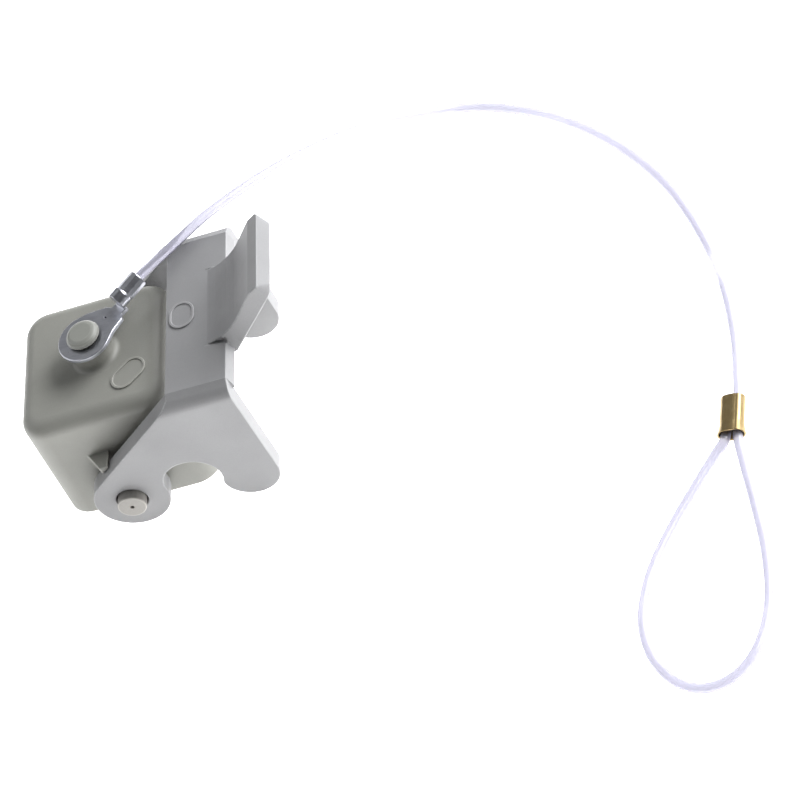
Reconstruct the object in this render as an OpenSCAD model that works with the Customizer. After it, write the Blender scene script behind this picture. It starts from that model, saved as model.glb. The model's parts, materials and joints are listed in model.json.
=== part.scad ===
// Protective cover for a small square connector hood, with its locking lever and tether.
// Millimetres. +Z runs up the cover's axis, out of its closed top. The origin is the centre of
// the rim's plane, where the hood goes in, and the lever's pivot axis is parallel to Y.

/* [Cover] */
// Outside width of the square cover at its rim
cover_w = 28.8; // [28.8:0.1:29.2]
// Height of the cover from its rim to its closed top
cover_h = 23.2; // [22.6:0.1:23.2]
// Amount by which each side leans in from rim to top
draft = 0.85; // [0.5:0.05:1]
// Radius of the upright corners
corner_r = 4.5; // [4:0.1:5]
// Radius round the edge of the top
top_edge_r = 2.7; // [2:0.1:2.8]
// Thickness of the top wall
top_t = 2; // [1.8:0.1:2.2]
// Inside width of the cavity above the sealing ledge
cavity_w = 22.8; // [22:0.1:23]
// Inside width of the mouth below the sealing ledge
mouth_w = 25.2; // [25:0.1:25.4]
// Depth of the mouth, from the rim to the sealing ledge
mouth_d = 2.8; // [2.4:0.1:2.8]
// Thickness of the sealing gasket
gasket_t = 1.5; // [1.2:0.1:1.8]
// Inside width of the sealing gasket
gasket_in_w = 21.4; // [21:0.1:21.8]

/* [Pivot] */
// Height of the lever's pivot axis above the rim
pivot_z = 5.7; // [5.7:0.1:6]
// Radius of the pivot pins
pin_r = 2.5; // [2.3:0.05:2.5]
// Radial running clearance between a pin and the lever's eye
pin_play = 0.09; // [0.05:0.01:0.1]
// Length of pin that stands proud of the lever's arm
pin_proud = 1.6; // [1.5:0.1:2]

/* [Lever] */
// Width over the two arms
lever_w = 37.8; // [37.8:0.1:38]
// Thickness of the arms
arm_t = 3.3; // [2.9:0.1:3.3]
// Thickness of the bridge between the arms
bridge_t = 2.9; // [2.6:0.1:3]
// Height of the bridge's top face above the rim
bridge_z = 26.5; // [26.5:0.1:27]
// Width of the sloping band that joins the bridge to each arm
bend_w = 2.7; // [2.4:0.1:2.8]
// Outside radius of the eye round each pin
eye_r = 6.6; // [6.2:0.1:6.6]
// Radius of the notch that hooks the hood's peg
notch_r = 5.1; // [4.8:0.1:5.1]
// Radius of the hook's round end
hook_r = 5.1; // [4.6:0.1:5.1]
// Width of the thumb tab
tab_w = 16.6; // [14:0.1:17]

/* [Tether] */
// Diameter of the nylon cord
cord_d = 1.7; // [1.5:0.1:1.7]
// Outside diameter of the ring terminal
ring_d = 9.8; // [9:0.1:10]
// Thickness of the ring terminal's sheet
ring_t = 0.85; // [0.7:0.05:0.9]
// Direction of the ring terminal, turned from +X towards +Y
terminal_angle = 41.5; // [40:0.5:43]
// Diameter of the retaining stud's head
stud_head_d = 6.2; // [6:0.1:6.6]

/* [Hidden] */

$fn = 64;
EPS = 0.01;
BLEND_FN = 32;

// Cover
COVER_GREY = [0.56, 0.56, 0.53];
ledge_z = mouth_d;
boss_r = 4.3;
boss_y = 15.3;
pin_seat_y = 11.7;
stud_x = 0.8;
stud_boss_h = 3.75;
stud_boss_r = 3.7;
stud_foot_r = 4.7;
stud_foot_h = 1;
badge_h = 0.3;

// Lever, in the plane of an arm: X across the cover, then Z
LEVER_GREY = [0.66, 0.66, 0.66];
arm_in_y = lever_w / 2 - arm_t;
bridge_x0 = 15.3;
front_x = 26.4;
notch_x = 11.7;
notch_z = 6.3;
hook_x = front_x - hook_r;
hook_z = pivot_z - eye_r + hook_r;
back_slope = 37.9;
back_n = [-sin(back_slope), cos(back_slope)];
bend_slope = 27;
tab_y = 0.35;
function back_line_z(x, gap = 0) = pivot_z + (eye_r + gap - x * back_n[0]) / back_n[1];
function back_line_x(z, gap = 0) = (eye_r + gap - (z - pivot_z) * back_n[1]) / back_n[0];

// Stops that the lever's arms lie against when it is open
stop_top_z = 14;
stop_tip_x = -4.6;
stop_tip_outer_x = -2.4;
stop_blunt_x = -0.9;
stop_out_y = 17.4;
stop_gap = 0.15;

// Tether
TIN = [0.62, 0.64, 0.68];
BRASS = [0.78, 0.62, 0.3];
NYLON = [0.92, 0.92, 0.97];
ring_z = cover_h + stud_boss_h + 0.05;
ring_hole_r = 2.65;
stud_shank_r = ring_hole_r - 0.09;
stud_foot_z = ring_z - 4.4;
stud_foot_shank_r = 1.9;
stud_head_z = ring_z + ring_t + 0.5;
stud_head_h = 1.1;
sheet_bend = 3.75;
shoulder = 6.8;
sheet_drop = 0.85;
barrel_r = 1.7;
barrel_start = 8.15;
barrel_end = 13.9;
barrel_step = 10.2;
barrel_tilt = 6;
cord_r = cord_d / 2;
cord_z = ring_z + 1.75;
ferrule_top = [105.3, -26.8, 0.7];
ferrule_foot = [104.4, -34.3, 0.7];
ferrule_wall = 0.35;
ferrule_flare = 0.35;
strand_x = 0.87;
cord_sides = 8;
steps = 2;

// The cord's route, from inside the terminal's barrel over the lever's far corner, down to the
// surface that the part stands on, through the ferrule, round the loop and into the ferrule again
route = [
    [7.3, 5.7, 28.2], [11.2, 9.2, cord_z], [15.3, 12.5, 28.8], [19.7, 16.3, 28.6],
    [24.1, 20.3, 28], [31.5, 27.1, 25.6], [38.7, 35.3, 20.5], [47.1, 45.2, 12.5],
    [55.9, 51.6, 5.2], [64, 53.5, 1.3], [73.5, 50.1, -0.05], [83.1, 42.8, -0.05],
    [91.5, 33.3, -0.05], [98.3, 22.1, -0.05], [103.1, 9.3, -0.05], [105.6, -1.7, -0.05],
    [106.6, -12.9, 0.1], [106.5, -20.5, 0.4], [106.2, -26.9, 0.7], [105.4, -34.4, 0.45],
    [105.9, -40.7, 0.05], [106.8, -48.1, -0.05], [107.7, -57.1, -0.05], [107.7, -64.9, -0.05],
    [106.7, -71.3, -0.05], [104.1, -77.1, -0.05], [100.1, -80.6, -0.05], [95.4, -81.1, -0.05],
    [91.1, -78.5, -0.05], [87.9, -73.3, -0.05], [86.7, -66.8, -0.05], [87.6, -60.5, -0.05],
    [89.8, -54.6, -0.05], [93.5, -48.1, -0.05], [98, -41.5, 0.05], [101.3, -37, 0.2],
    [103.3, -34.2, 0.45], [104.3, -28.2, 0.7]
];

// One point of the smooth curve through p1 and p2, a fraction t of the way along
function curve(p0, p1, p2, p3, t) =
    0.5 * (2 * p1 + (p2 - p0) * t + (2 * p0 - 5 * p1 + 4 * p2 - p3) * t * t
           + (3 * p1 - p0 - 3 * p2 + p3) * t * t * t);
function at(list, i) = list[min(max(i, 0), len(list) - 1)];
function smooth(list) = concat(
    [for (i = [0:len(list) - 2], k = [0:steps - 1])
        curve(at(list, i - 1), list[i], list[i + 1], at(list, i + 2), k / steps)],
    [list[len(list) - 1]]);
function unit(v) = v / norm(v);
// A ring of points round the path where it passes point i, square to it
function ring(path, i, r) =
    let (along = unit(at(path, i + 1) - at(path, i - 1)),
         side = unit(cross(along, [0, 0, 1])),
         up = cross(side, along))
    [for (k = [0:cord_sides - 1])
        path[i] + r * (cos(360 * k / cord_sides) * side + sin(360 * k / cord_sides) * up)];

module tube(path, r) {
    n = cord_sides;
    last = (len(path) - 1) * n;
    points = [for (i = [0:len(path) - 1]) each ring(path, i, r)];
    walls = [for (i = [0:len(path) - 2], k = [0:n - 1])
        [i * n + k, i * n + (k + 1) % n, (i + 1) * n + (k + 1) % n, (i + 1) * n + k]];
    polyhedron(points, concat(walls, [[for (k = [n - 1:-1:0]) k], [for (k = [0:n - 1]) last + k]]));
}

module rounded_square(w, r) {
    square([w, w - 2 * r], center = true);
    square([w - 2 * r, w], center = true);
    for (x = [-1, 1], y = [-1, 1]) translate([x, y] * (w / 2 - r)) circle(r);
}

// Stadium outline: two circles of radius r, a apart from the centre each way
module stadium(a, r) {
    square([2 * a, 2 * r], center = true);
    for (x = [-a, a]) translate([x, 0]) circle(r);
}

// Leaves its children standing on +Z lying along Y, pointing out at -Y or +Y
module outward(side) {
    rotate([side < 0 ? 90 : -90, 0, 0]) children();
}

// Solid of an outline drawn in X and Z, between y0 and y1
module slab_xz(y0, y1) {
    translate([0, y1, 0]) rotate([90, 0, 0]) linear_extrude(y1 - y0) children();
}

module along_terminal() {
    translate([stud_x, 0, ring_z]) rotate([0, 0, terminal_angle]) children();
}

// ---- Cover ----

module cover_outside() {
    top_r = corner_r - top_edge_r;
    foot = cover_w / 2 - corner_r;
    top = foot - draft;
    hull() {
        for (x = [-1, 1], y = [-1, 1]) {
            translate([x * foot, y * foot, 0]) cylinder(r = corner_r, h = 0.2, $fn = BLEND_FN);
            translate([x * top, y * top, cover_h - top_edge_r])
                rotate_extrude($fn = BLEND_FN)
                    translate([top_r, 0]) intersection() {
                        circle(top_edge_r, $fn = BLEND_FN);
                        translate([0, -top_edge_r]) square(2 * top_edge_r);
                    }
        }
    }
}

module stud_boss() {
    translate([stud_x, 0, cover_h - 1]) {
        cylinder(r = stud_boss_r, h = stud_boss_h + 1);
        translate([0, 0, 1 - EPS]) cylinder(r1 = stud_foot_r, r2 = stud_boss_r, h = stud_foot_h);
    }
}

// Stop on one side wall, with its underside parallel to the open lever's back edge
module lever_stop(side) {
    mirror([0, side > 0 ? 1 : 0, 0]) difference() {
        slab_xz(-stop_out_y, -cover_w / 2 + 1.2)
            polygon([
                [stop_tip_x, stop_top_z],
                [stop_tip_x, back_line_z(stop_tip_x, stop_gap)],
                [stop_blunt_x, back_line_z(stop_blunt_x, stop_gap)],
                [stop_blunt_x, stop_top_z]]);
        translate([stop_tip_x, -cover_w / 2 + 0.5, 0])
            rotate([0, 0, -atan2(stop_out_y - cover_w / 2 + 0.5, stop_tip_outer_x - stop_tip_x)])
                translate([-1, -8, 0]) cube([12, 8, 30]);
    }
}

module cover_badge() {
    translate([7, -6.4, cover_h - 0.5]) rotate([0, 0, terminal_angle]) linear_extrude(0.5 + badge_h)
        stadium(1.2, 2.3);
}

module cover_shell() {
    color(COVER_GREY) difference() {
        union() {
            cover_outside();
            stud_boss();
            cover_badge();
            for (side = [-1, 1]) {
                translate([0, 0, pivot_z]) outward(side) cylinder(r = boss_r, h = boss_y);
                lever_stop(side);
            }
        }
        translate([0, 0, -1]) linear_extrude(mouth_d + 1) rounded_square(mouth_w, 3.2);
        linear_extrude(cover_h - top_t) rounded_square(cavity_w, 2.6);
        translate([stud_x, 0, stud_foot_z - 0.1]) cylinder(r = stud_foot_shank_r, h = 10);
        for (side = [-1, 1]) translate([0, side * pin_seat_y, pivot_z]) outward(side)
            cylinder(r = pin_r, h = 10);
    }
}

module sealing_gasket() {
    color([0.13, 0.13, 0.13]) translate([0, 0, ledge_z - gasket_t]) linear_extrude(gasket_t)
        difference() {
            rounded_square(mouth_w, 3.2);
            rounded_square(gasket_in_w, 2);
        }
}

// ---- Pivot pins ----

module pivot_pin(side) {
    reach = lever_w / 2 + pin_proud;
    chamfer = 0.3;
    dimple_r = 0.35;
    color(COVER_GREY) translate([0, side * pin_seat_y, pivot_z]) outward(side) difference() {
        union() {
            cylinder(r = pin_r, h = reach - pin_seat_y - chamfer);
            translate([0, 0, reach - pin_seat_y - chamfer])
                cylinder(r1 = pin_r, r2 = pin_r - chamfer, h = chamfer);
        }
        translate([0, 0, reach - pin_seat_y - 0.6]) cylinder(r = dimple_r, h = 1);
    }
}

module pivot_pin_front() { pivot_pin(-1); }
module pivot_pin_rear() { pivot_pin(1); }

// ---- Locking lever ----

module arm_outline() {
    difference() {
        union() {
            translate([0, pivot_z]) circle(eye_r);
            translate([hook_x, hook_z]) circle(hook_r);
            polygon([
                [0, pivot_z],
                [0, pivot_z] + eye_r * back_n,
                [bridge_x0, back_line_z(bridge_x0)],
                [bridge_x0, bridge_z],
                [front_x, bridge_z],
                [front_x, hook_z],
                [hook_x - hook_r, hook_z]]);
        }
        translate([notch_x, notch_z]) circle(notch_r);
        translate([0, pivot_z]) circle(pin_r + pin_play);
    }
}

// Cross-section of the lever: everything inside the sloping bands at its outer corners
module bend_outline() {
    half = lever_w / 2;
    arm_top = bridge_z - bend_w * tan(bend_slope);
    polygon([
        [-half, -20], [-half, arm_top], [-half + bend_w, bridge_z],
        [half - bend_w, bridge_z], [half, arm_top], [half, -20]]);
}

// Thumb tab: a curved flange that rises out of the bridge's front half
module tab_outline() {
    polygon([
        [22.2, bridge_z - bridge_t], [22.2, bridge_z - 0.4], [23.6, bridge_z],
        [25.3, 27], [27.2, 28.2], [29.3, 30], [31.5, 32.3], [34.3, 35.2],
        [36.3, 36.8], [38.1, 34.8], [37.8, 34],
        [35.4, 31.9], [31.1, 27.3], [28.9, 25], [26.8, 22.7], [25.8, 22.8], [24.6, 23.4]]);
}

module locking_lever() {
    color(LEVER_GREY) {
        intersection() {
            union() {
                for (y = [-1, 1]) {
                    mid = y * (lever_w - arm_t) / 2;
                    slab_xz(mid - arm_t / 2, mid + arm_t / 2) arm_outline();
                }
                slab_xz(-arm_in_y - EPS, arm_in_y + EPS) polygon([
                    [bridge_x0, bridge_z - bridge_t], [bridge_x0, bridge_z],
                    [front_x, bridge_z], [front_x + 0.6, bridge_z - bridge_t]]);
            }
            translate([-10, 0, 0]) rotate([90, 0, 90]) linear_extrude(50) bend_outline();
        }
        slab_xz(tab_y - tab_w / 2, tab_y + tab_w / 2) tab_outline();
        translate([18.3, 0, bridge_z - 0.5]) linear_extrude(0.5 + badge_h)
            rotate(90) stadium(0.55, 2.3);
    }
}

// ---- Tether ----

module retaining_stud() {
    color(COVER_GREY) translate([stud_x, 0, 0]) {
        translate([0, 0, stud_foot_z]) cylinder(r = stud_foot_shank_r, h = 5);
        translate([0, 0, ring_z - 0.05]) cylinder(r = stud_shank_r, h = ring_t + 0.6);
        translate([0, 0, stud_head_z]) rotate_extrude() {
            square([stud_head_d / 2, stud_head_h - 0.9]);
            square([stud_head_d / 2 - 0.9, stud_head_h]);
            translate([stud_head_d / 2 - 0.9, stud_head_h - 0.9]) intersection() {
                circle(0.9);
                square(2);
            }
        }
    }
}

// The terminal's flat sheet seen from above: the ring, its tapered pad and the narrow neck
module sheet_outline() {
    taper = 24.4;
    r = ring_d / 2;
    side_x = r * sin(taper);
    side_y = r * cos(taper);
    shoulder_y = side_y - (shoulder - side_x) * tan(taper);
    neck_y = 1.35;
    difference() {
        union() {
            circle(r);
            polygon([
                [0, 0], [side_x, side_y], [shoulder, shoulder_y], [shoulder + 0.4, neck_y],
                [barrel_start + 0.6, neck_y], [barrel_start + 0.6, -neck_y],
                [shoulder + 0.4, -neck_y], [shoulder, -shoulder_y], [side_x, -side_y]]);
        }
        circle(ring_hole_r);
    }
}

// The same sheet seen from the side: flat on the boss, then bent down and up again to the barrel
module sheet_side() {
    polygon([
        [-6, 0], [sheet_bend, 0], [shoulder, -sheet_drop], [barrel_start + 1, 0.5 - sheet_drop],
        [barrel_start + 1, ring_t + 0.5 - sheet_drop], [shoulder, ring_t - sheet_drop],
        [sheet_bend, ring_t], [-6, ring_t]]);
}

module ring_terminal() {
    barrel_l = barrel_end - barrel_start;
    color(TIN) along_terminal() {
        intersection() {
            translate([0, 0, -2]) linear_extrude(4) sheet_outline();
            slab_xz(-6, 6) sheet_side();
        }
        translate([barrel_end, 0, cord_z - ring_z]) rotate([0, -90 - barrel_tilt, 0])
            difference() {
                union() {
                    cylinder(r = barrel_r, h = barrel_end - barrel_step);
                    cylinder(r = barrel_r - 0.1, h = barrel_l);
                }
                translate([0, 0, -1]) cylinder(r = cord_r, h = barrel_l + 0.7);
            }
    }
}

module tether_cord() {
    color(NYLON) tube(smooth(route), cord_r);
}

module crimp_ferrule() {
    axis = ferrule_foot - ferrule_top;
    length = norm(axis);
    flare_l = 1.8;
    bore_r = cord_r + 0.03;
    color(BRASS) translate(ferrule_top) rotate([0, 0, atan2(axis[1], axis[0]) + 90])
        rotate([90, 0, 0]) {
            linear_extrude(length - flare_l) difference() {
                stadium(strand_x, bore_r + ferrule_wall);
                stadium(strand_x, bore_r);
            }
            translate([0, 0, length - flare_l]) difference() {
                hull() {
                    linear_extrude(EPS) stadium(strand_x, bore_r + ferrule_wall, $fn = BLEND_FN);
                    translate([0, 0, flare_l - EPS]) linear_extrude(EPS)
                        stadium(strand_x, bore_r + ferrule_wall + ferrule_flare, $fn = BLEND_FN);
                }
                hull() {
                    translate([0, 0, -EPS]) linear_extrude(EPS) stadium(strand_x, bore_r, $fn = BLEND_FN);
                    translate([0, 0, flare_l]) linear_extrude(EPS)
                        stadium(strand_x, bore_r + ferrule_flare, $fn = BLEND_FN);
                }
            }
        }
}

cover_shell();
sealing_gasket();
pivot_pin_front();
pivot_pin_rear();
locking_lever();
retaining_stud();
ring_terminal();
tether_cord();
crimp_ferrule();
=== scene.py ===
"""A protective cover for a small square connector hood, with its locking lever and its tether.

The part's own frame: +Z up out of the closed top, the lever's pivot axis along Y, the origin in
the middle of the rim's plane. Shapes are worked out in millimetres and made in metres.
"""

import json
import math

import bpy
import numpy as np
from mathutils import Matrix, Vector


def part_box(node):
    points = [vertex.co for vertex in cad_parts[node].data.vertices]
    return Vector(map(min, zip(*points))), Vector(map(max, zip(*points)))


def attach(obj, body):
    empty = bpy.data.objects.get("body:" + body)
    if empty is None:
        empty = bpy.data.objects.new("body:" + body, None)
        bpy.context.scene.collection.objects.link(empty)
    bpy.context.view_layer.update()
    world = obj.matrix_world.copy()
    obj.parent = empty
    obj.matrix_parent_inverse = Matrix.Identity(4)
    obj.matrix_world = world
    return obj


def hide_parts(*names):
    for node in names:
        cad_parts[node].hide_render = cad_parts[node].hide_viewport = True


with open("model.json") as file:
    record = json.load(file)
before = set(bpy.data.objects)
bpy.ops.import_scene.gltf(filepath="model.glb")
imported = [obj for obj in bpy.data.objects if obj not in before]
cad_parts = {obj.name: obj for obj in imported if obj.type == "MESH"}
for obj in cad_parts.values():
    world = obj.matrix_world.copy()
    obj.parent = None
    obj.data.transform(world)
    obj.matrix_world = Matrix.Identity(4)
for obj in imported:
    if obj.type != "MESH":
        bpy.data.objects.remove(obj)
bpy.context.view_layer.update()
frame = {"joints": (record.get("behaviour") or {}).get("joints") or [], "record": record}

MM = 0.001
JOINTS = {joint["name"]: joint for joint in frame["joints"]}
MOUNTS = {mount["name"]: mount for mount in frame["record"]["mounts"]}


def box_mm(node):
    """The lowest and highest corners of a CAD node, in millimetres."""
    low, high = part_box(node)
    return low / MM, high / MM


# ---- Driving sizes, in millimetres ----

# From the frame
PIVOT_Z = JOINTS["lever_swing"]["pos_m"][2] / MM
STUD_X = JOINTS["terminal_swivel"]["pos_m"][0] / MM
LEVER_HALF_W = box_mm("locking_lever")[1].y
LEVER_FOOT_Z = box_mm("locking_lever")[0].z
PIN_END_Y = box_mm("pivot_pin_rear")[1].y
PIN_SEAT_Y = box_mm("pivot_pin_rear")[0].y
PIN_R = box_mm("pivot_pin_rear")[1].x
COVER_HALF_W = -box_mm("cover_shell")[0].x
GASKET_HIGH = box_mm("sealing_gasket")[1]
STUD_TOP_Z = box_mm("retaining_stud")[1].z
STUD_FOOT_Z = box_mm("retaining_stud")[0].z
STUD_HEAD_R = box_mm("retaining_stud")[1].x - STUD_X
SHEET_DROP = 0.85
TERMINAL_Z = box_mm("ring_terminal")[0].z + SHEET_DROP

# Cover and stud
COVER_H = 23.2
DRAFT = 0.85
CORNER_R = 4.5
TOP_EDGE_R = 2.7
CAVITY_HALF_W = 11.4
CAVITY_R = 2.6
ROOF_Z = 21.2
MOUTH_HALF_W = GASKET_HIGH.x
MOUTH_R = 3.2
LEDGE_Z = GASKET_HIGH.z
PIN_BOSS_R = 4.3
PIN_BOSS_Y = 15.3
IN_WALL_Y = 12.5
STUD_BOSS_R = 3.7
STUD_BOSS_TOP_Z = TERMINAL_Z - 0.05
STUD_SHANK_R = 2.05
STUD_SHANK_DROP = 1
STUD_BEVEL = 0.8
STUD_HEAD_GAP = 0.5
STUD_FOOT_R = 1.85
STUD_FOOT_GAP = 0.04
STUD_OVERLAP = 0.3

# Lever
ARM_T = 3.3
BRIDGE_T = 2.9
BRIDGE_Z = 26.5
BRIDGE_X0 = 15.3
FRONT_X = 26.4
BEND_W = 2.7
BEND_DROP = 1.3
EYE_R = PIVOT_Z - LEVER_FOOT_Z
HOOK_R = 5.1
NOTCH_R = 5.1
NOTCH_X, NOTCH_Z = (MOUNTS["peg_notch_front"]["pos_m"][i] / MM for i in (0, 2))
HOOK_X = FRONT_X - HOOK_R
HOOK_Z = LEVER_FOOT_Z + HOOK_R
BACK_SLOPE = math.radians(37.9)
TAB_HALF_W = 8.3
TAB_Y = 0.35
STOP_GAP = 0.15

# Terminal: lengths from the stud's axis, and widths across them
TERMINAL_ANGLE = math.radians(41.5)
RING_R = 4.9
RING_T = 0.85
RING_HOLE_R = 2.65
SHEET_BEND = 3.75
SHOULDER = 6.8
BARREL_R = 1.7
BARREL_START = 8.15
BARREL_STEP = 10.2
BARREL_END = 13.9
BARREL_TILT = math.radians(6)
NECK_LIFT = 0.2
RIM_W = 0.35
RIM_SLOPE = 0.42
CRIMP_SIDES = 11
CRIMP_DEPTH = 0.1

# Cord and ferrule
CORD_R = 0.85
CORD_Z = TERMINAL_Z + 1.75
FERRULE_TOP = np.array([105.3, -26.8, 0.7])
FERRULE_FOOT = np.array([104.4, -34.3, 0.7])
FERRULE_WALL = 0.38
STRAND_X = 0.87
FLOOR_Z = LEVER_FOOT_Z

# The cord's route: out of the terminal's barrel, over the lever's far corner, down to the floor,
# through the ferrule, round the loop and back into the ferrule
ROUTE = [
    (7.3, 5.7, 28.2), (11.2, 9.2, CORD_Z), (15.3, 12.5, 28.8), (19.7, 16.3, 28.6),
    (24.1, 20.3, 28), (31.5, 27.1, 25.6), (38.7, 35.3, 20.5), (47.1, 45.2, 12.5),
    (55.9, 51.6, 5.2), (64, 53.5, 1.3), (73.5, 50.1, -0.05), (83.1, 42.8, -0.05),
    (91.5, 33.3, -0.05), (98.3, 22.1, -0.05), (103.1, 9.3, -0.05), (105.6, -1.7, -0.05),
    (106.6, -12.9, 0.1), (106.5, -20.5, 0.4), (106.2, -26.9, 0.7), (105.4, -34.4, 0.45),
    (105.9, -40.7, 0.05), (106.8, -48.1, -0.05), (107.7, -57.1, -0.05), (107.7, -64.9, -0.05),
    (106.7, -71.3, -0.05), (104.1, -77.1, -0.05), (100.1, -80.6, -0.05), (95.4, -81.1, -0.05),
    (91.1, -78.5, -0.05), (87.9, -73.3, -0.05), (86.7, -66.8, -0.05), (87.6, -60.5, -0.05),
    (89.8, -54.6, -0.05), (93.5, -48.1, -0.05), (98, -41.5, 0.05), (101.3, -37, 0.2),
    (103.3, -34.2, 0.45), (104.3, -28.2, 0.7),
]

# ---- Shapes as distance fields ----
# A field is negative inside a solid, zero on its surface, and in most shapes grows by 1 for each
# millimetre outwards.


def hypot(*parts):
    """Length of a vector given by its components."""
    return np.sqrt(sum(part * part for part in parts))


def meet(a, b, r):
    """What is inside both fields, with the edge between them rounded to r."""
    return np.minimum(np.maximum(a, b), -r) + hypot(np.maximum(a + r, 0), np.maximum(b + r, 0))


def join(a, b, r):
    """What is inside either field, with a fillet of radius r between them."""
    return np.maximum(np.minimum(a, b), r) - hypot(np.maximum(r - a, 0), np.maximum(r - b, 0))


def rounded_square(a, b, half, r):
    """Distance to a square of that half width with rounded corners."""
    da, db = np.abs(a) - (half - r), np.abs(b) - (half - r)
    outside = hypot(np.maximum(da, 0), np.maximum(db, 0))
    return outside + np.minimum(np.maximum(da, db), 0) - r


def stadium(a, b, half, r):
    """Distance to a bar with round ends, whose end centres lie at plus and minus half."""
    return hypot(np.maximum(np.abs(a) - half, 0), b) - r


def outline(*corners):
    """A closed outline from corners (a, b, radius), each one rounded to its radius."""
    points = []
    for before, here, after in zip(corners[-1:] + corners[:-1], corners, corners[1:] + corners[:1]):
        corner, r = Vector(here[:2]), here[2]
        back = (Vector(before[:2]) - corner).normalized()
        on = (Vector(after[:2]) - corner).normalized()
        half = back.angle(on) / 2
        if r == 0:
            points.append(corner)
            continue
        centre = corner + (back + on).normalized() * r / math.sin(half)
        start = corner + back * r / math.tan(half) - centre
        end = corner + on * r / math.tan(half) - centre
        turn = math.atan2(start.x * end.y - start.y * end.x, start.dot(end))
        steps = max(2, math.ceil(abs(turn) / math.radians(6)))
        points += [centre + Matrix.Rotation(turn * k / steps, 2) @ start for k in range(steps + 1)]
    return [(point.x, point.y) for point in points]


def inside_outline(points, a, b):
    """Signed distance from (a, b) to a closed outline."""
    nearest, inside = np.inf, False
    for (a0, b0), (a1, b1) in zip(points, points[1:] + points[:1]):
        along_a, along_b = a1 - a0, b1 - b0
        share = ((a - a0) * along_a + (b - b0) * along_b) / (along_a**2 + along_b**2)
        share = np.clip(share, 0, 1)
        gap = (a - a0 - share * along_a) ** 2 + (b - b0 - share * along_b) ** 2
        nearest = np.minimum(nearest, gap)
        if along_b:
            crossed = ((b0 <= b) != (b1 <= b)) & (a < a0 + (b - b0) * along_a / along_b)
            inside = inside ^ crossed
    return np.where(inside, -1, 1) * np.sqrt(nearest)


def turned(a, b, angle, a0=0.0, b0=0.0):
    """(a, b) in axes with their origin at (a0, b0), turned by angle."""
    cos, sin = math.cos(angle), math.sin(angle)
    return (a - a0) * cos + (b - b0) * sin, (b - b0) * cos - (a - a0) * sin


# ---- Meshes ----

EDGE_REACH = 0.1


def slopes(field, points, step=0.004):
    """The field and its slope at each point."""
    value = field(*points.T)
    slope = np.empty_like(points)
    for axis in range(3):
        shift = np.zeros(3)
        shift[axis] = step
        slope[:, axis] = (field(*(points + shift).T) - field(*(points - shift).T)) / (2 * step)
    return value, slope


def solid(name, field, low, high, cell):
    """A closed smooth mesh of the surface where the field is zero, between two corners.

    The grid gives one vertex for each cell that the surface crosses, then every vertex is pulled
    onto the surface and takes its normal from the field. The attribute "edge" is 1 where an
    outward edge is rounded to a quarter of a millimetre or less, and 0 where the surface is flat.
    """
    axes = [np.arange(a - 1.5 * cell, b + 2.5 * cell, cell) for a, b in zip(low, high)]
    grid = np.meshgrid(*axes, indexing="ij", sparse=True)
    value = np.ascontiguousarray(np.broadcast_to(field(*grid), [len(axis) for axis in axes]))
    inside = value < 0
    offsets = np.array([(i, j, k) for i in (0, 1) for j in (0, 1) for k in (0, 1)])
    shape = np.array(value.shape) - 1
    count = sum(
        inside[i : i + shape[0], j : j + shape[1], k : k + shape[2]].astype(np.int8)
        for i, j, k in offsets
    )
    crossed = (count > 0) & (count < 8)
    cells = np.argwhere(crossed)
    index = np.full(crossed.shape, -1)
    index[crossed] = np.arange(len(cells))

    total, hits = np.zeros((len(cells), 3)), np.zeros((len(cells), 1))
    for first in offsets:
        for axis in np.flatnonzero(first == 0):
            last = first.copy()
            last[axis] = 1
            v0, v1 = value[tuple((cells + first).T)], value[tuple((cells + last).T)]
            cut = (v0 < 0) != (v1 < 0)
            share = np.where(cut, v0 / np.where(cut, v0 - v1, 1), 0)
            total += cut[:, None] * (first + share[:, None] * (last - first))
            hits += cut[:, None]
    points = np.array([axis[0] for axis in axes]) + (cells + total / hits) * cell
    for _ in range(3):
        height, slope = slopes(field, points)
        steep = np.maximum((slope**2).sum(1), 0.25)
        points -= np.clip(height / steep, -cell, cell)[:, None] * slope
    slope = slopes(field, points)[1]
    normals = slope / np.maximum(np.linalg.norm(slope, axis=1, keepdims=True), 1e-9)
    ends = [field(*(points + way).T) for way in EDGE_REACH * np.vstack((np.eye(3), -np.eye(3)))]
    bend = (sum(ends) - 6 * field(*points.T)) / EDGE_REACH**2

    quads = []
    for axis in range(3):
        a, b = np.eye(3, dtype=int)[[(axis + 1) % 3, (axis + 2) % 3]]
        starts = np.take(inside, range(inside.shape[axis] - 1), axis)
        ends = np.take(inside, range(1, inside.shape[axis]), axis)
        for outwards in (True, False):
            edges = np.argwhere((starts == outwards) & (ends != outwards))
            ring = [index[tuple((edges - shift).T)] for shift in (a + b, b, 0 * a, a)]
            quads.append(np.stack(ring if outwards else ring[::-1], 1))

    mesh = bpy.data.meshes.new(name)
    mesh.from_pydata(points * MM, [], np.concatenate(quads).tolist())
    mesh.polygons.foreach_set("use_smooth", np.ones(len(mesh.polygons), bool))
    mesh.normals_split_custom_set_from_vertices(normals)
    mesh.attributes.new("edge", "FLOAT", "POINT").data.foreach_set("value", np.clip(bend / 4, 0, 1))
    piece = bpy.data.objects.new(name, mesh)
    bpy.context.scene.collection.objects.link(piece)
    return piece


def add(piece, material, body, replaces=None):
    """Gives a piece its material and its place in the model."""
    piece.data.materials.append(material)
    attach(piece, body)
    if replaces:
        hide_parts(replaces)
    return piece


def stand_in(name, field, cell, node, material, body):
    """A solid in place of a CAD node, meshed within the node's own box."""
    low, high = box_mm(node)
    return add(solid(name, field, low, high, cell), material, body, node)


# ---- Materials ----


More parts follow.
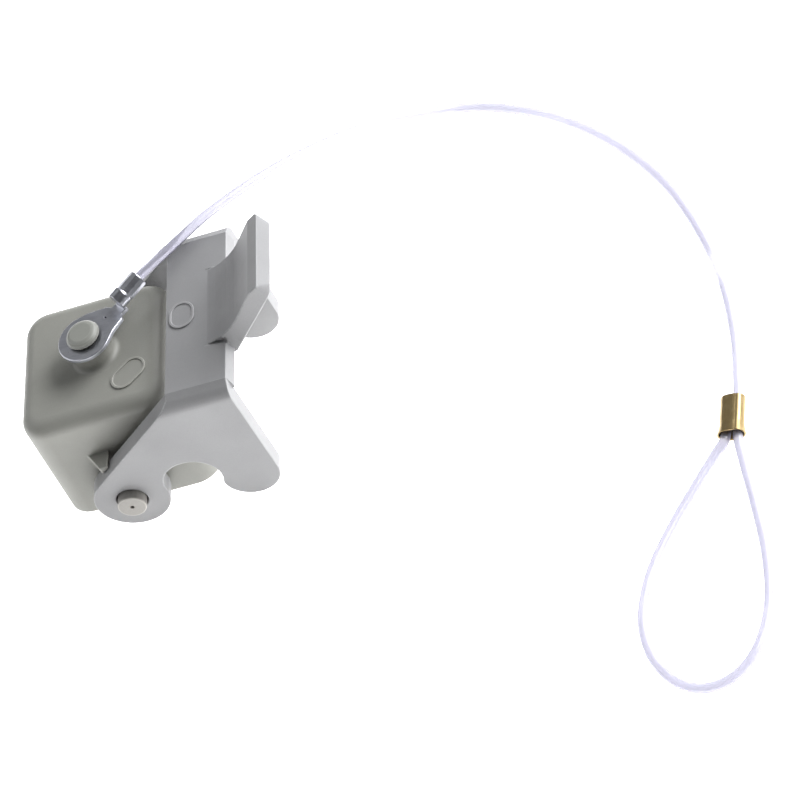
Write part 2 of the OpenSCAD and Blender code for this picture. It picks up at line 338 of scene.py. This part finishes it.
class Nodes:
    """A material's node tree, with short ways to add and link nodes."""

    def __init__(self, name, **sockets):
        self.material = bpy.data.materials.new(name)
        self.material.use_nodes = True
        self.tree = self.material.node_tree
        self.shader = self.tree.nodes["Principled BSDF"]
        for socket, value in sockets.items():
            self.shader.inputs[socket.replace("_", " ")].default_value = value
        self.place = self.tree.nodes.new("ShaderNodeTexCoord").outputs["Object"]

    def link(self, output, socket):
        self.tree.links.new(output, self.shader.inputs[socket])

    def noise(self, scale, detail=2.0, distortion=0.0, stretch=None):
        """Noise of that many cells to a metre, from 0 to 1, maybe drawn out along an axis."""
        node = self.tree.nodes.new("ShaderNodeTexNoise")
        node.inputs["Scale"].default_value = scale
        node.inputs["Detail"].default_value = detail
        node.inputs["Distortion"].default_value = distortion
        place = self.place
        if stretch:
            mapping = self.tree.nodes.new("ShaderNodeMapping")
            mapping.inputs["Rotation"].default_value = stretch[0]
            mapping.inputs["Scale"].default_value = stretch[1]
            self.tree.links.new(place, mapping.inputs["Vector"])
            place = mapping.outputs["Vector"]
        self.tree.links.new(place, node.inputs["Vector"])
        return node.outputs["Fac"]

    def attribute(self, name):
        """A number stored on the mesh."""
        node = self.tree.nodes.new("ShaderNodeAttribute")
        node.attribute_name = name
        return node.outputs["Fac"]

    def ramp(self, fac, *stops):
        """Colours or greys at places from 0 to 1."""
        node = self.tree.nodes.new("ShaderNodeValToRGB")
        elements = node.color_ramp.elements
        while len(elements) < len(stops):
            elements.new(0.5)
        for element, (place, colour) in zip(elements, stops):
            element.position = place
            element.color = (*colour, 1) if hasattr(colour, "__len__") else (colour,) * 3 + (1,)
        self.tree.links.new(fac, node.inputs["Fac"])
        return node.outputs["Color"]

    def mix(self, fac, a, b, blend="MIX"):
        """Two colours mixed by a share, a number or an output."""
        node = self.tree.nodes.new("ShaderNodeMix")
        node.data_type = "RGBA"
        node.blend_type = blend
        for value, socket in ((fac, node.inputs[0]), (a, node.inputs[6]), (b, node.inputs[7])):
            if isinstance(value, bpy.types.NodeSocket):
                self.tree.links.new(value, socket)
            else:
                socket.default_value = value if socket == node.inputs[0] else (*value, 1)
        return node.outputs[2]

    def bump(self, *layers):
        """Bumps of (height output, strength, depth in millimetres), one on top of the other."""
        normal = None
        for height, strength, depth in layers:
            node = self.tree.nodes.new("ShaderNodeBump")
            node.inputs["Strength"].default_value = strength
            node.inputs["Distance"].default_value = depth * MM
            self.tree.links.new(height, node.inputs["Height"])
            if normal:
                self.tree.links.new(normal, node.inputs["Normal"])
            normal = node.outputs["Normal"]
        self.link(normal, "Normal")


def moulded(name, colour, roughness, grain=0.02):
    """Moulded plastic: even colour with faint flow clouds, a fine grain, and a painted highlight
    that lightens its sharply rounded edges.
    """
    nodes = Nodes(name, Specular_IOR_Level=0.5)
    clouds = nodes.ramp(nodes.noise(90, 3), (0.3, 0.93), (0.7, 1.05))
    specks = nodes.ramp(nodes.noise(5200, 2), (0.25, 0.95), (0.75, 1.04))
    tinted = nodes.mix(1.0, colour, clouds, "MULTIPLY")
    grained = nodes.mix(1.0, tinted, specks, "MULTIPLY")
    # Painted highlight: edges rounded to a quarter millimetre or less are mixed towards a paler copy
    # of the colour, standing in for the light that such edges catch.
    painted_edge_highlight = nodes.ramp(nodes.attribute("edge"), (0.35, 0.0), (1.0, 0.5))
    nodes.link(nodes.mix(painted_edge_highlight, grained, [min(1, 1.9 * c) for c in colour]), "Base Color")
    nodes.link(nodes.ramp(nodes.noise(400, 3), (0.2, roughness - 0.05), (0.8, roughness + 0.06)),
               "Roughness")
    nodes.bump((nodes.noise(4200, 3), 0.5, grain), (nodes.noise(160, 2), 0.3, 0.03))
    return nodes.material


def tinned(name):
    """Tin plate over drawn copper: soft streaks, small dents, a dull bluish shine."""
    nodes = Nodes(name, Metallic=1.0)
    streaks = nodes.noise(900, 4, 0.4, stretch=((0, 0, -TERMINAL_ANGLE), (0.25, 1, 1)))
    nodes.link(nodes.ramp(streaks, (0.2, (0.42, 0.43, 0.47)), (0.8, (0.62, 0.63, 0.68))),
               "Base Color")
    nodes.link(nodes.ramp(nodes.noise(2600, 3), (0.2, 0.26), (0.8, 0.42)), "Roughness")
    nodes.bump((streaks, 0.35, 0.03), (nodes.noise(1300, 2), 0.25, 0.04))
    return nodes.material


def polished_brass(name):
    """Brass with a faint tarnish and fine marks along it."""
    nodes = Nodes(name, Metallic=1.0)
    tarnish = nodes.noise(700, 4, 0.3)
    nodes.link(nodes.ramp(tarnish, (0.25, (0.38, 0.28, 0.13)), (0.75, (0.46, 0.35, 0.18))),
               "Base Color")
    nodes.link(nodes.ramp(nodes.noise(2500, 3), (0.2, 0.28), (0.8, 0.4)), "Roughness")
    nodes.bump((nodes.noise(1800, 3, stretch=((0, 0, 0), (1, 0.2, 1))), 0.3, 0.03))
    return nodes.material


def nylon(name):
    """Translucent milky monofilament with faint drawing marks."""
    nodes = Nodes(name, IOR=1.53, Transmission_Weight=0.5, Specular_IOR_Level=0.5)
    milk = nodes.noise(300, 3)
    nodes.link(nodes.ramp(milk, (0.3, (0.67, 0.66, 0.77)), (0.7, (0.69, 0.68, 0.79))), "Base Color")
    nodes.link(nodes.ramp(nodes.noise(700, 2), (0.2, 0.16), (0.8, 0.24)), "Roughness")
    nodes.bump((nodes.noise(900, 2), 0.1, 0.002))
    return nodes.material


def black_rubber(name):
    """Dull black rubber with a little dust."""
    nodes = Nodes(name, Specular_IOR_Level=0.4)
    dust = nodes.noise(1200, 4)
    nodes.link(nodes.ramp(dust, (0.35, (0.018, 0.018, 0.019)), (0.75, (0.04, 0.04, 0.04))),
               "Base Color")
    nodes.link(nodes.ramp(dust, (0.3, 0.6), (0.7, 0.78)), "Roughness")
    nodes.bump((nodes.noise(5000, 3), 0.4, 0.02))
    return nodes.material


COVER_PLASTIC = moulded("cover_plastic", (0.295, 0.295, 0.268), 0.46)
LEVER_PLASTIC = moulded("lever_plastic", (0.305, 0.305, 0.31), 0.46)
PIN_PLASTIC = moulded("pin_plastic", (0.34, 0.325, 0.3), 0.42)
STUD_PLASTIC = moulded("stud_plastic", (0.28, 0.285, 0.26), 0.42)
TIN = tinned("tinned_copper")
BRASS = polished_brass("brass")
NYLON = nylon("nylon_cord")
RUBBER = black_rubber("gasket_rubber")

# ---- Cover ----


def back_line_z(x, gap=0.0):
    """Height of the open lever's back edge above a place across the cover."""
    return PIVOT_Z + (EYE_R + gap + x * math.sin(BACK_SLOPE)) / math.cos(BACK_SLOPE)


# The stops' side view, under the open lever's back edge
STOP_TOP_Z = 14
STOP_X0, STOP_X1 = -4.6, -0.9
STOP_OUT_Y = 17.4
STOP_ROOT_Y = 13.9
STOP_SLANT = math.atan2(3.5, 2.2)
STOP_OUTLINE = outline(
    (STOP_X0, STOP_TOP_Z, 0),
    (STOP_X0, back_line_z(STOP_X0, STOP_GAP), 0),
    (STOP_X1, back_line_z(STOP_X1, STOP_GAP), 0),
    (STOP_X1, STOP_TOP_Z, 0),
)


def cover_field(x, y, z):
    """The cover: a square box with drafted walls, its bosses and stops, and its hollow inside."""
    far = np.abs(y)
    around_pin = hypot(x, z - PIVOT_Z)
    around_stud = hypot(x - STUD_X, y)

    shell = rounded_square(x, y, COVER_HALF_W - DRAFT * z / COVER_H, CORNER_R)
    shell = meet(shell, z - COVER_H, TOP_EDGE_R)
    shell = meet(shell, -z, 0.3)

    boss = meet(around_stud - STUD_BOSS_R, z - STUD_BOSS_TOP_Z, 0.3)
    shell = join(shell, np.maximum(boss, ROOF_Z + 1 - z), 1.0)

    pin_boss = meet(around_pin - PIN_BOSS_R, far - PIN_BOSS_Y, 0.2)
    shell = join(shell, np.maximum(pin_boss, IN_WALL_Y - far), 0.5)

    slant = math.cos(STOP_SLANT) * (far - STOP_ROOT_Y) - math.sin(STOP_SLANT) * (x - STOP_X0)
    stop = meet(inside_outline(STOP_OUTLINE, x, z), far - STOP_OUT_Y, 0.15)
    stop = meet(stop, slant, 0.12)
    shell = join(shell, np.maximum(stop, IN_WALL_Y - far), 0.25)

    cavity = meet(rounded_square(x, y, CAVITY_HALF_W, CAVITY_R), z - ROOF_Z, 0.8)
    mouth = meet(rounded_square(x, y, MOUTH_HALF_W, MOUTH_R), z - LEDGE_Z, 0.1)
    shell = meet(meet(shell, -cavity, 0.25), -mouth, 0.3)
    shell = meet(shell, -np.maximum(around_pin - PIN_R, PIN_SEAT_Y - far), 0.1)
    return meet(shell, -np.maximum(around_stud - STUD_FOOT_R, STUD_FOOT_Z - z), 0.1)


stand_in("cover", cover_field, 0.27, "cover_shell", COVER_PLASTIC, "cover")

GASKET_MID_Z, GASKET_HALF_T = 2.2, 0.58
GASKET_GAP = 0.05
GASKET_HOLE_HALF_W, GASKET_HOLE_R = 10.7, 2
BEAD_HALF_W, BEAD_CORNER_R = 11.7, 2.6
BEAD_Z, BEAD_R = 1.65, 0.35


def gasket_field(x, y, z):
    """A flat ring with a raised sealing bead along the middle of its face."""
    outer = rounded_square(x, y, GASKET_HIGH.x - GASKET_GAP, MOUTH_R)
    ring = meet(outer, -rounded_square(x, y, GASKET_HOLE_HALF_W, GASKET_HOLE_R), 0.1)
    ring = meet(ring, np.abs(z - GASKET_MID_Z) - GASKET_HALF_T, 0.2)
    bead = hypot(rounded_square(x, y, BEAD_HALF_W, BEAD_CORNER_R), z - BEAD_Z) - BEAD_R
    return join(ring, bead, 0.2)


stand_in("gasket", gasket_field, 0.16, "sealing_gasket", RUBBER, "cover")

BADGE_ROOT = 0.3
BADGE_PLATE_H = 0.1
BADGE_RIM_H = 0.3
BADGE_RIM_IN, BADGE_RIM_HALF_W = 0.24, 0.22


def badge(name, centre, angle, face_z, half, r, material, body):
    """A plain raised oval with a thin rim, on a face at height face_z."""

    def field(x, y, z):
        a, b = turned(x, y, angle, *centre)
        oval = stadium(a, b, half, r)
        plate = meet(oval, z - face_z - BADGE_PLATE_H, 0.08)
        rim = meet(np.abs(oval + BADGE_RIM_IN) - BADGE_RIM_HALF_W, z - face_z - BADGE_RIM_H, 0.1)
        return np.maximum(join(plate, rim, 0.06), face_z - BADGE_ROOT - z)

    reach = half + r
    low = (centre[0] - reach, centre[1] - reach, face_z - BADGE_ROOT)
    high = (centre[0] + reach, centre[1] + reach, face_z + BADGE_RIM_H + 0.1)
    return add(solid(name, field, low, high, 0.07), material, body)


badge("cover_badge", (7, -6.4), TERMINAL_ANGLE, COVER_H, 1.2, 2.3, COVER_PLASTIC, "cover")

# ---- Pins and stud ----

DIMPLE_R = 0.38
DIMPLE_DEPTH = 0.8


def pin_field(side):
    """The lever's pin on one side, -1 or 1, with a dimple in its end."""

    def field(x, y, z):
        r = hypot(x, z - PIVOT_Z)
        along = side * y
        pin = meet(r - PIN_R, along - PIN_END_Y, 0.25)
        dimple = np.maximum(r - DIMPLE_R, PIN_END_Y - DIMPLE_DEPTH - along)
        return meet(np.maximum(pin, PIN_SEAT_Y - along), -dimple, 0.05)

    return field


for place, side in (("front", -1), ("rear", 1)):
    stand_in(f"lever_pin_{place}", pin_field(side), 0.11, f"pivot_pin_{place}", PIN_PLASTIC,
             "cover")


def stud_field(x, y, z):
    """A stud with a bevelled head, a shank through the ring, and a thinner foot."""
    r = hypot(x - STUD_X, y)
    bevel = (r - STUD_HEAD_R + z - STUD_TOP_Z + STUD_BEVEL) / math.sqrt(2)
    head = meet(np.maximum(r - STUD_HEAD_R, z - STUD_TOP_Z), bevel, 0.35)
    head = meet(head, TERMINAL_Z + RING_T + STUD_HEAD_GAP - z, 0.12)
    shank = np.maximum(z - STUD_TOP_Z + STUD_SHANK_DROP, TERMINAL_Z - z)
    shank = np.maximum(shank, r - STUD_SHANK_R)
    foot = np.maximum(z - TERMINAL_Z - STUD_OVERLAP, STUD_FOOT_Z - z)
    foot = np.maximum(foot, r - STUD_FOOT_R + STUD_FOOT_GAP)
    return np.minimum(join(head, shank, 0.15), foot)


stand_in("stud", stud_field, 0.11, "retaining_stud", STUD_PLASTIC, "cover")

# ---- Lever ----

# The arms' side view without the eye and the hook, which runs on above the bridge's top face
ARM_OUTLINE = outline(
    (0, PIVOT_Z, 0),
    (-EYE_R * math.sin(BACK_SLOPE), PIVOT_Z + EYE_R * math.cos(BACK_SLOPE), 0),
    (BRIDGE_X0, back_line_z(BRIDGE_X0), 0.3),
    (BRIDGE_X0, BRIDGE_Z + 1, 0),
    (FRONT_X, BRIDGE_Z + 1, 0),
    (FRONT_X, HOOK_Z, 0),
    (HOOK_X - HOOK_R, HOOK_Z, 0),
)
# The bridge and an arm, seen along X
BEND_OUTLINE = outline(
    (-5, BRIDGE_Z, 0),
    (LEVER_HALF_W - BEND_W, BRIDGE_Z, 0.3),
    (LEVER_HALF_W, BRIDGE_Z - BEND_DROP, 2.7),
    (LEVER_HALF_W, -10, 0),
    (LEVER_HALF_W - ARM_T, -10, 0),
    (LEVER_HALF_W - ARM_T, BRIDGE_Z - BRIDGE_T, 0.6),
    (-5, BRIDGE_Z - BRIDGE_T, 0),
)
# The bridge's front, which leans out towards its underside
BRIDGE_FRONT = outline(
    (FRONT_X - 3, BRIDGE_Z, 0),
    (FRONT_X, BRIDGE_Z, 0.12),
    (FRONT_X + 0.5, BRIDGE_Z - BRIDGE_T, 0.2),
    (FRONT_X - 3, BRIDGE_Z - BRIDGE_T, 0),
)
GROOVE_X = 22.6
GROOVE_R = 0.42
GROOVE_OUT = 0.15
EYE_GAP = 0.28
# The tab's side view, which runs on past the plane that ends the tab
TAB_OUTLINE = outline(
    (20.5, BRIDGE_Z, 0),
    (GROOVE_X + 0.4, BRIDGE_Z, 0.4),
    (27.6, 27.8, 14),
    (34.1, 35.4, 0.15),
    (37.6, 37.6, 0),
    (38.65, 36.2, 0),
    (37.75, 34.1, 0.3),
    (26.9, 22.75, 0.8),
    (25.2, 23.2, 0.5),
    (20.5, 24.6, 0),
)
TAB_END_X, TAB_END_Z = 36.3, 36.8
TAB_END_SLOPE = math.radians(41.2)


def lever_field(x, y, z):
    """The lever: two arms under a bent bridge, a thumb tab, and a relief groove on its sides."""
    far = np.abs(y)
    arm = np.minimum(hypot(x, z - PIVOT_Z) - EYE_R, hypot(x - HOOK_X, z - HOOK_Z) - HOOK_R)
    arm = np.minimum(arm, inside_outline(ARM_OUTLINE, x, z))
    arm = meet(arm, NOTCH_R - hypot(x - NOTCH_X, z - NOTCH_Z), 0.3)
    lever = meet(arm, inside_outline(BEND_OUTLINE, far, z), 0.13)
    lever = meet(lever, -np.maximum(x - BRIDGE_X0, far - LEVER_HALF_W + ARM_T), 0.15)
    front = np.maximum(inside_outline(BRIDGE_FRONT, x, z), far - LEVER_HALF_W + BEND_W)
    lever = np.minimum(lever, front)

    past_end, above_end = turned(x, z, TAB_END_SLOPE, TAB_END_X, TAB_END_Z)
    corner_r = np.where(y > TAB_Y, 0.8, 0.3) + 0.6 * np.clip(-above_end, 0, 3)
    width = meet(np.abs(y - TAB_Y) - TAB_HALF_W, past_end, corner_r)
    tab = meet(inside_outline(TAB_OUTLINE, x, z), width, 0.2)
    lever = np.minimum(lever, tab)
    groove_r = GROOVE_R * np.clip((x - GROOVE_X) / (FRONT_X - GROOVE_X), 0, 1)
    groove = hypot(np.abs(y - TAB_Y) - TAB_HALF_W - GROOVE_OUT, z - BRIDGE_Z) - groove_r
    lever = meet(lever, -np.maximum(groove, np.maximum(GROOVE_X - x, x - FRONT_X)), 0.05)
    return meet(lever, PIN_R + EYE_GAP - hypot(x, z - PIVOT_Z), 0.1)


stand_in("lever", lever_field, 0.22, "locking_lever", LEVER_PLASTIC, "lever")
badge("lever_badge", (18.3, 0), math.pi / 2, BRIDGE_Z, 0.55, 2.3, LEVER_PLASTIC, "lever")

# ---- Tether ----

# The terminal's sheet from above
TAPER = math.radians(24.4)
SIDE_U, SIDE_V = RING_R * math.sin(TAPER), RING_R * math.cos(TAPER)
SHOULDER_V = SIDE_V - (SHOULDER - SIDE_U) * math.tan(TAPER)
NECK_V = 1.35
MARK_U, MARK_V = 5.05, 0.2
MARK_R, MARK_DEPTH = 0.22, 0.5
BORE_GAP = 0.03
BORE_FLOOR = 0.3
SHEET = outline(
    (0, SIDE_V, 0),
    (SIDE_U, SIDE_V, 0),
    (SHOULDER, SHOULDER_V, 0.35),
    (SHOULDER + 0.5, NECK_V, 0.3),
    (BARREL_START + 0.7, NECK_V, 0),
    (BARREL_START + 0.7, -NECK_V, 0),
    (SHOULDER + 0.5, -NECK_V, 0.3),
    (SHOULDER, -SHOULDER_V, 0.35),
    (SIDE_U, -SIDE_V, 0),
    (0, -SIDE_V, 0),
)


def ramp_from(a, start, r=0.5):
    """A smooth ramp: 0 up to start, then rising by 1 for each millimetre."""
    return np.clip(a - start + r, 0, 2 * r) ** 2 / (4 * r) + np.maximum(a - start - r, 0)


def terminal_field(x, y, z):
    """A ring on a tapered sheet, bent down past the ring and then level, with a crimped barrel.

    u runs from the stud's axis towards the barrel, v across it, and w up from the sheet's underside.
    """
    u, v = turned(x, y, TERMINAL_ANGLE, STUD_X, 0)
    fall = SHEET_DROP / (SHOULDER - SHEET_BEND)
    w = z - TERMINAL_Z + fall * (ramp_from(u, SHEET_BEND) - ramp_from(u, SHOULDER))
    sheet = np.minimum(hypot(u, v) - RING_R, inside_outline(SHEET, u, v))
    plate = meet(sheet, np.abs(w - RING_T / 2) - RING_T / 2, 0.16)
    plate = meet(plate, RING_HOLE_R - hypot(u, v), 0.12)
    mark = np.maximum(hypot(u - MARK_U, v - MARK_V) - MARK_R, RING_T - MARK_DEPTH - w)
    plate = meet(plate, -mark, 0.05)

    along, off = turned(u, z, BARREL_TILT, BARREL_END, CORD_Z)
    across = hypot(v, off)
    facets = -np.inf
    for k in range(CRIMP_SIDES):
        angle = 2 * math.pi * k / CRIMP_SIDES
        facets = np.maximum(facets, v * math.cos(angle) + off * math.sin(angle))
    step = BARREL_STEP - BARREL_END
    tube = meet(across - BARREL_R, facets - BARREL_R + CRIMP_DEPTH, 0.04)
    tube = np.maximum(tube, across - BARREL_R + RIM_SLOPE * (along + RIM_W))
    tube = meet(tube, np.maximum(step - along, along), 0.06)
    lifted = hypot(v, off - NECK_LIFT)
    neck = np.maximum(lifted - BARREL_R, lifted - BARREL_R + RIM_SLOPE * (along - step + RIM_W))
    neck = meet(neck, np.maximum(BARREL_START - BARREL_END - along, along - step), 0.1)
    barrel = join(neck, tube, 0.08)
    terminal = join(plate, barrel, 0.25)
    bore = np.maximum(across - CORD_R - BORE_GAP, BARREL_START - BARREL_END + BORE_FLOOR - along)
    return meet(terminal, -bore, 0.12)


terminal = stand_in("terminal", terminal_field, 0.1, "ring_terminal", TIN, "tether")

FLARE, FLARE_LENGTH, FLARE_CURVE = 0.35, 2.2, 1.3
FERRULE_LEAST_WALL = 0.24


def ferrule_field(x, y, z):
    """A sleeve with an oval outside, a bore for two strands side by side, and a flared foot."""
    axis = FERRULE_FOOT - FERRULE_TOP
    length = np.linalg.norm(axis)
    angle = math.atan2(axis[1], axis[0])
    along, across = turned(x, y, angle, FERRULE_TOP[0], FERRULE_TOP[1])
    up = z - FERRULE_TOP[2]
    flare = FLARE * np.clip((along - length + FLARE_LENGTH) / FLARE_LENGTH, 0, 1) ** FLARE_CURVE
    bore = stadium(across, up, STRAND_X, CORD_R + BORE_GAP) - flare
    half, r = STRAND_X + CORD_R + FERRULE_WALL + flare, CORD_R + FERRULE_WALL + flare
    oval = (hypot(across / half, up / r) - 1) * r
    wall = meet(np.minimum(oval, bore - FERRULE_LEAST_WALL), -bore, 0.08)
    return meet(wall, np.maximum(-along, along - length), 0.08)


ferrule = stand_in("ferrule", ferrule_field, 0.09, "crimp_ferrule", BRASS, "tether")


def cord_curve(name, route, radius):
    """A smooth round cord through the route's points."""
    curve = bpy.data.curves.new(name, "CURVE")
    curve.dimensions = "3D"
    curve.bevel_depth = radius * MM
    curve.bevel_resolution = 6
    curve.use_fill_caps = True
    curve.resolution_u = 8
    spline = curve.splines.new("BEZIER")
    spline.bezier_points.add(len(route) - 1)
    places = [Vector(place) * MM for place in route]
    for point, before, here, after in zip(
        spline.bezier_points, places[:1] + places[:-1], places, places[1:] + places[-1:]
    ):
        point.co = here
        point.handle_left = here - (after - before) / 6
        point.handle_right = here + (after - before) / 6
    piece = bpy.data.objects.new(name, curve)
    bpy.context.scene.collection.objects.link(piece)
    return piece


cord = cord_curve("cord", ROUTE, CORD_R)
add(cord, NYLON, "tether", "tether_cord")

# ---- Camera, floor and light ----

AIM = Vector((42.51, 3.25, -12.83)) * MM
DISTANCE = 0.6526
AZIMUTH, ELEVATION, ROLL = (math.radians(a) for a in (22.94, 46.62, -32.22))

lens = bpy.data.cameras.new("camera")
lens.lens = 167.6
lens.clip_start = 0.01
camera = bpy.data.objects.new("camera", lens)
turn = Matrix.Rotation(AZIMUTH, 3, "Z") @ Matrix.Rotation(math.pi / 2 - ELEVATION, 3, "X")
camera.matrix_world = Matrix.Translation(AIM + turn @ Vector((0, 0, DISTANCE))) @ (
    turn @ Matrix.Rotation(ROLL, 3, "Z")
).to_4x4()
bpy.context.scene.collection.objects.link(camera)
bpy.context.scene.camera = camera


LIGHT_AIM = Vector((0.03, 0, 0.01))


def area_light(name, azimuth, elevation, distance, size, power, colour):
    """A soft box that looks at the part from an azimuth, measured as the camera's is."""
    data = bpy.data.lights.new(name, "AREA")
    data.shape = "RECTANGLE"
    data.size = data.size_y = size
    data.energy = power
    data.color = colour
    light = bpy.data.objects.new(name, data)
    turn = Matrix.Rotation(math.radians(azimuth), 3, "Z")
    turn = turn @ Matrix.Rotation(math.radians(90 - elevation), 3, "X")
    place = LIGHT_AIM + turn @ Vector((0, 0, distance))
    light.matrix_world = Matrix.Translation(place) @ turn.to_4x4()
    bpy.context.scene.collection.objects.link(light)


area_light("key", 110, 38, 1.0, 0.6, 10, (0.98, 0.985, 1))
area_light("side", 140, 28, 1.0, 0.6, 5.7, (0.98, 0.985, 1))
area_light("left", 265, 40, 1.0, 0.8, 3.4, (0.98, 0.99, 1))
area_light("back", 200, 40, 1.0, 0.8, 0.6, (0.98, 0.99, 1))

FLOOR_REACH = 3.0
floor_corners = [(x, y, FLOOR_Z * MM) for x, y in (
    (-FLOOR_REACH, -FLOOR_REACH), (FLOOR_REACH, -FLOOR_REACH),
    (FLOOR_REACH, FLOOR_REACH), (-FLOOR_REACH, FLOOR_REACH),
)]
floor_mesh = bpy.data.meshes.new("floor")
floor_mesh.from_pydata(floor_corners, [], [(0, 1, 2, 3)])
floor = bpy.data.objects.new("floor", floor_mesh)
paper = Nodes("paper", Roughness=0.9, Specular_IOR_Level=0.1, Emission_Strength=1.7)
paper.shader.inputs["Base Color"].default_value = (0.85, 0.85, 0.86, 1)
paper.shader.inputs["Emission Color"].default_value = (1, 1, 1, 1)
floor_mesh.materials.append(paper.material)
bpy.context.scene.collection.objects.link(floor)

world = bpy.data.worlds.new("studio")
world.use_nodes = True
world.node_tree.nodes["Background"].inputs["Color"].default_value = (0.9, 0.93, 1, 1)
world.node_tree.nodes["Background"].inputs["Strength"].default_value = 0.03
bpy.context.scene.world = world
bpy.context.scene.view_settings.view_transform = "Standard"
